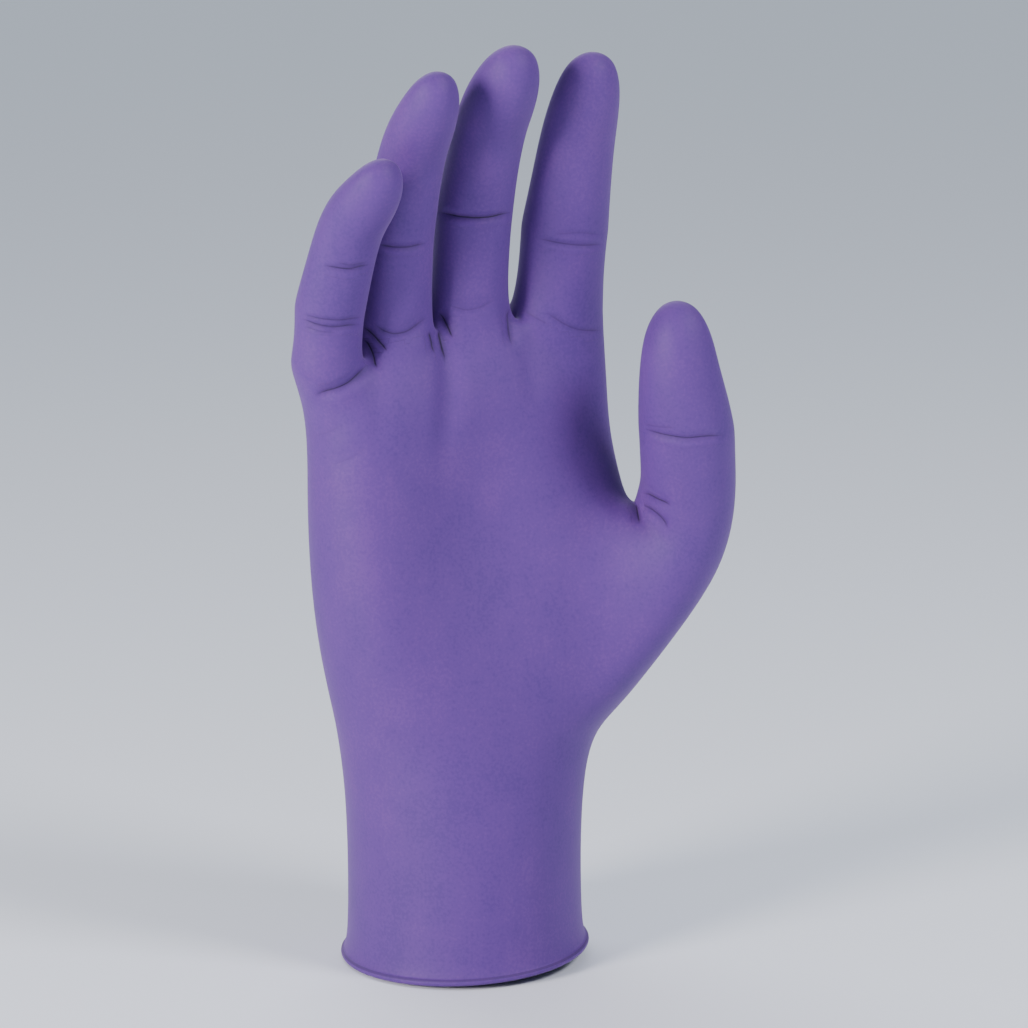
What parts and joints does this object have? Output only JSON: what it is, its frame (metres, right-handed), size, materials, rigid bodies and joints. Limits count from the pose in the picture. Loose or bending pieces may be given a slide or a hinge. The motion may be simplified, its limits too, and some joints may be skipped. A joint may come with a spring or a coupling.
{
  "type": "nitrile exam glove",
  "caption": "Thin violet rubber exam glove in the shape it takes on a right hand: rolled cuff edge, open wrist, hollow palm, four fingers and a thumb.",
  "frame": {"origin": "centre of the wrist opening, on the plane of the rolled rim", "axes": "+Z along the cuff from the wrist opening to the fingertips, +X towards the thumb side, the palm faces -Y"},
  "size_m": [0.1059, 0.0755, 0.2274],
  "materials": {
    "nitrile": "matt, with a soft sheen"
  },
  "bodies": {
    "root": {"glove": "nitrile"}
  },
  "joints": []
}
